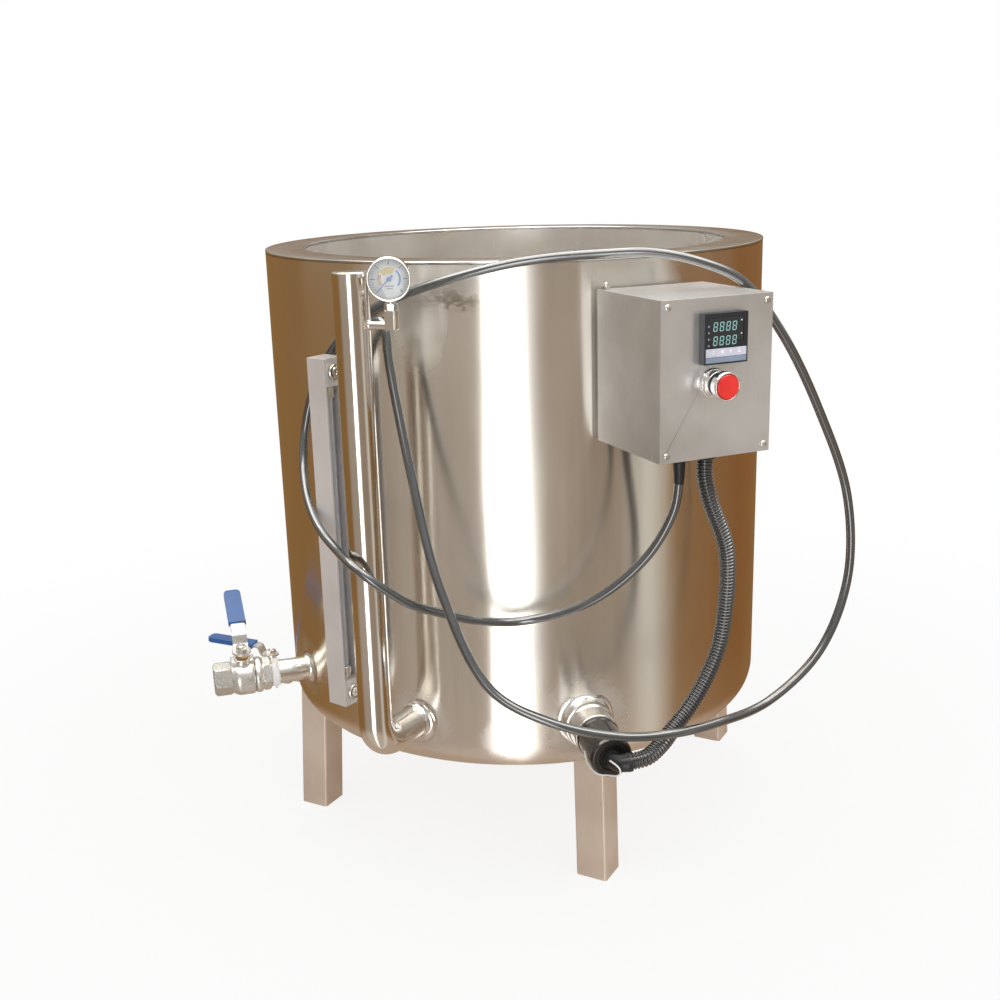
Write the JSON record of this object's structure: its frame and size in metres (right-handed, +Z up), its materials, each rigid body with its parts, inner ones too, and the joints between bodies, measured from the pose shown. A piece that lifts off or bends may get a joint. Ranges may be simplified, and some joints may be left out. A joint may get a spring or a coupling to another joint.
{
  "type": "electric melting pot",
  "caption": "Steel double-wall melting pot on legs, with drain valves, level gauge, dial gauge, side heater and control box.",
  "frame": {"origin": "on the floor under the middle of the object, measured without the loose cable, plug and conduit", "axes": "+Z up; -Y is the front with the standpipe, +X is towards the control box's side"},
  "size_m": [0.8976, 0.7064, 0.7201],
  "materials": {
    "polished_steel": "mirror-polished stainless sheet",
    "polished_pipe": "polished stainless tube",
    "inner_steel": "brushed stainless sheet",
    "leg_steel": "satin stainless tube with scuffs",
    "pipe_steel": "bright stainless pipe",
    "cast_steel": "satin investment casting",
    "lever_steel": "pressed stainless plate",
    "fastener_steel": "bright screw heads",
    "chrome": "bright plating",
    "brass": "machined nut",
    "aluminium": "matt anodised channel",
    "box_steel": "fine vertical brushing",
    "blue_vinyl": "dipped vinyl sleeve",
    "gloss_black": "glossy moulded cap",
    "dark_plastic": "moulded nylon",
    "pale_plastic": "moulded terminal block",
    "controller_black": "fine-textured panel bezel",
    "display_window": "dark display window",
    "key_grey": "lilac-grey membrane keys",
    "red_plastic": "smooth red cap",
    "dial_face": "printed dial",
    "clear_glass": "clear",
    "cable_rubber": "glossy black sheath",
    "conduit_plastic": "ribbed black conduit"
  },
  "bodies": {
    "root": {"outer_shell": "polished_steel", "inner_pot": "inner_steel", "rim_ring": "polished_steel", "leg_front_left": "leg_steel", "leg_rear_left": "leg_steel", "leg_front_right": "leg_steel", "leg_rear_right": "leg_steel", "pot_drain_pipe": "pipe_steel", "drain_valve_body": "cast_steel", "drain_valve_end": "cast_steel", "drain_packing_nut": "brass", "jacket_drain_pipe": "pipe_steel", "jacket_valve_body": "cast_steel", "standpipe": "polished_pipe", "gauge_case": "chrome", "gauge_dial": "dial_face", "gauge_glass": "clear_glass", "level_channel": "aluminium", "level_top_block": "aluminium", "level_bottom_block": "aluminium", "level_top_bolt": "fastener_steel", "level_bottom_bolt": "fastener_steel", "sight_glass": "clear_glass", "heater_socket": "pipe_steel", "heating_element": "pipe_steel", "terminal_cap": "gloss_black", "cap_elbow": "dark_plastic", "temperature_probe": "pipe_steel", "box_mounting_plate": "box_steel", "box_body": "box_steel", "box_cover": "box_steel", "cover_screw_top_left": "fastener_steel", "cover_screw_top_right": "fastener_steel", "cover_screw_bottom_left": "fastener_steel", "cover_screw_bottom_right": "fastener_steel", "controller_body": "controller_black", "controller_window": "display_window", "button_holder": "chrome", "contact_block": "dark_plastic", "power_relay": "dark_plastic", "terminal_block": "pale_plastic", "cable_gland": "dark_plastic", "conduit_gland": "dark_plastic", "supply_cable": "cable_rubber", "plug": "cable_rubber", "conduit": "conduit_plastic"},
    "drain_handle": {"drain_valve_ball": "chrome", "drain_lever": "lever_steel", "drain_lever_grip": "blue_vinyl", "drain_lever_nut": "fastener_steel"},
    "jacket_handle": {"jacket_valve_ball": "chrome", "jacket_lever": "lever_steel", "jacket_lever_grip": "blue_vinyl", "jacket_lever_nut": "fastener_steel"},
    "red_button": {"button_cap": "red_plastic"},
    "key_set": {"controller_key_set": "key_grey"},
    "key_shift": {"controller_key_shift": "key_grey"},
    "key_down": {"controller_key_down": "key_grey"},
    "key_up": {"controller_key_up": "key_grey"},
    "needle": {"gauge_needle": "dark_plastic"}
  },
  "joints": [
    {"name": "drain_lever_turn", "type": "hinge", "parent": "root", "child": "drain_handle", "pos_m": [-0.1813, -0.26663, 0.2137], "axis": [0.1219, -0.1236, 0.9848], "range_deg": [0, 90]},
    {"name": "jacket_lever_turn", "type": "hinge", "parent": "root", "child": "jacket_handle", "pos_m": [-0.32634, -0.03843, 0.104], "axis": [0, 0, 1], "range_deg": [0, 90]},
    {"name": "red_button_press", "type": "slide", "parent": "root", "child": "red_button", "axis": [-0.7907, 0.6122, 0], "range_m": [0, 0.004], "stiffness_N_per_m": 400, "springref_m": -0.001},
    {"name": "key_set_press", "type": "slide", "parent": "root", "child": "key_set", "axis": [-0.7907, 0.6122, 0], "range_m": [0, 0.0005], "stiffness_N_per_m": 300, "springref_m": -0.0002},
    {"name": "key_shift_press", "type": "slide", "parent": "root", "child": "key_shift", "axis": [-0.7907, 0.6122, 0], "range_m": [0, 0.0005], "stiffness_N_per_m": 300, "springref_m": -0.0002},
    {"name": "key_down_press", "type": "slide", "parent": "root", "child": "key_down", "axis": [-0.7907, 0.6122, 0], "range_m": [0, 0.0005], "stiffness_N_per_m": 300, "springref_m": -0.0002},
    {"name": "key_up_press", "type": "slide", "parent": "root", "child": "key_up", "axis": [-0.7907, 0.6122, 0], "range_m": [0, 0.0005], "stiffness_N_per_m": 300, "springref_m": -0.0002},
    {"name": "needle_turn", "type": "hinge", "parent": "root", "child": "needle", "pos_m": [0.09348, -0.32247, 0.6985], "axis": [-0.4384, 0.8988, 0], "range_deg": [0, 270], "stiffness_Nm_per_rad": 0.0001}
  ]
}
